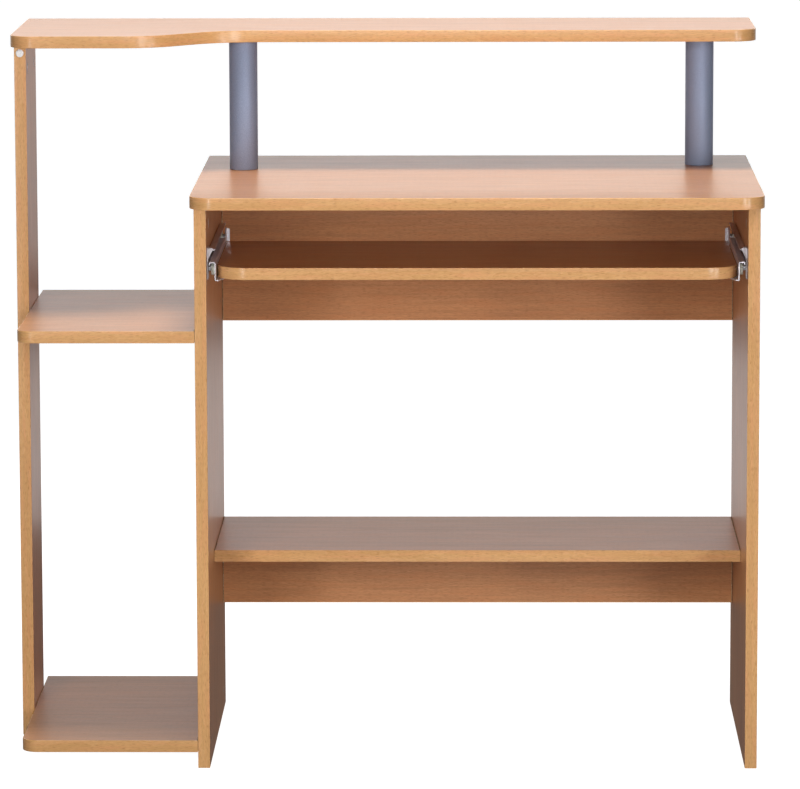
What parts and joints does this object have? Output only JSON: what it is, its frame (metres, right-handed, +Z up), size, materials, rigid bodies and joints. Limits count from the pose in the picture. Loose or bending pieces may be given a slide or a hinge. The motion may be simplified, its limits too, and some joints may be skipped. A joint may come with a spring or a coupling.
{
  "type": "computer desk with keyboard tray",
  "caption": "Small board-built computer desk with a raised monitor shelf on round posts, a pull-out keyboard tray on roller slides and an open shelf bay on its left.",
  "frame": {"origin": "centre of the bounding box in plan, on the floor", "axes": "+X to the desk's right as its user sees it, +Y from the user towards the back, +Z up"},
  "size_m": [0.941, 0.5, 0.91],
  "materials": {
    "beech_laminate": "satin beech-pattern laminate",
    "post_paint": "satin silver-blue paint",
    "zinc": "bright zinc plate",
    "steel": "zinc-plated steel",
    "nylon": "natural nylon",
    "white_plastic": "white moulded plastic",
    "grey_plastic": "dark grey moulded plastic"
  },
  "bodies": {
    "desk": {"left_side_panel": "beech_laminate", "right_side_panel": "beech_laminate", "desktop": "beech_laminate", "upper_back_panel": "beech_laminate", "lower_shelf": "beech_laminate", "lower_stretcher": "beech_laminate", "upright": "beech_laminate", "middle_shelf": "beech_laminate", "bottom_shelf": "beech_laminate", "monitor_shelf": "beech_laminate", "middle_shelf_screw_left_front": "steel", "middle_shelf_screw_left_rear": "steel", "middle_shelf_screw_right_front": "steel", "middle_shelf_screw_right_rear": "steel", "bottom_shelf_screw_left_front": "steel", "bottom_shelf_screw_left_rear": "steel", "bottom_shelf_screw_right_front": "steel", "bottom_shelf_screw_right_rear": "steel", "back_panel_screw_lower_left": "steel", "back_panel_screw_lower_right": "steel", "back_panel_screw_upper_left": "steel", "back_panel_screw_upper_right": "steel", "lower_shelf_screw_left": "steel", "lower_shelf_screw_right": "steel", "stretcher_screw_left": "steel", "stretcher_screw_right": "steel", "upright_front_cam": "zinc", "upright_rear_cam": "zinc", "left_panel_front_cam": "zinc", "left_panel_rear_cam": "zinc", "right_panel_front_cam": "zinc", "right_panel_rear_cam": "zinc", "upright_front_bolt": "steel", "upright_rear_bolt": "steel", "left_panel_front_bolt": "steel", "left_panel_rear_bolt": "steel", "right_panel_front_bolt": "steel", "right_panel_rear_bolt": "steel", "upright_cover_cap": "white_plastic", "post_left": "post_paint", "post_right": "post_paint", "post_left_lower_plug": "grey_plastic", "post_left_upper_plug": "grey_plastic", "post_right_lower_plug": "grey_plastic", "post_right_upper_plug": "grey_plastic", "post_left_bolt": "steel", "post_right_bolt": "steel", "left_runner": "zinc", "right_runner": "zinc", "left_front_roller_pin": "steel", "right_front_roller_pin": "steel"},
    "tray": {"keyboard_tray": "beech_laminate", "left_carrier": "zinc", "right_carrier": "zinc", "left_rear_roller_pin": "steel", "right_rear_roller_pin": "steel"},
    "left_front_roller": {"left_front_roller": "nylon"},
    "left_rear_roller": {"left_rear_roller": "nylon"},
    "right_front_roller": {"right_front_roller": "nylon"},
    "right_rear_roller": {"right_rear_roller": "nylon"}
  },
  "joints": [
    {"name": "tray_slide", "type": "slide", "parent": "desk", "child": "tray", "axis": [0, -1, 0], "range_m": [0, 0.21]},
    {"name": "left_front_roller_turn", "type": "hinge", "parent": "desk", "child": "left_front_roller", "pos_m": [-0.2109, -0.118, 0.6285], "axis": [1, 0, 0], "range_deg": [0, 1340]},
    {"name": "left_rear_roller_turn", "type": "hinge", "parent": "tray", "child": "left_rear_roller", "pos_m": [-0.2138, 0.122, 0.638], "axis": [1, 0, 0], "range_deg": [0, 1340]},
    {"name": "right_front_roller_turn", "type": "hinge", "parent": "desk", "child": "right_front_roller", "pos_m": [0.4439, -0.118, 0.6285], "axis": [1, 0, 0], "range_deg": [0, 1340]},
    {"name": "right_rear_roller_turn", "type": "hinge", "parent": "tray", "child": "right_rear_roller", "pos_m": [0.4468, 0.122, 0.638], "axis": [1, 0, 0], "range_deg": [0, 1340]}
  ],
  "couplings": [
    {"joint": "left_front_roller_turn", "follows": "tray_slide", "rad_per_m": 111.11},
    {"joint": "left_rear_roller_turn", "follows": "tray_slide", "rad_per_m": 111.11},
    {"joint": "right_front_roller_turn", "follows": "tray_slide", "rad_per_m": 111.11},
    {"joint": "right_rear_roller_turn", "follows": "tray_slide", "rad_per_m": 111.11}
  ]
}
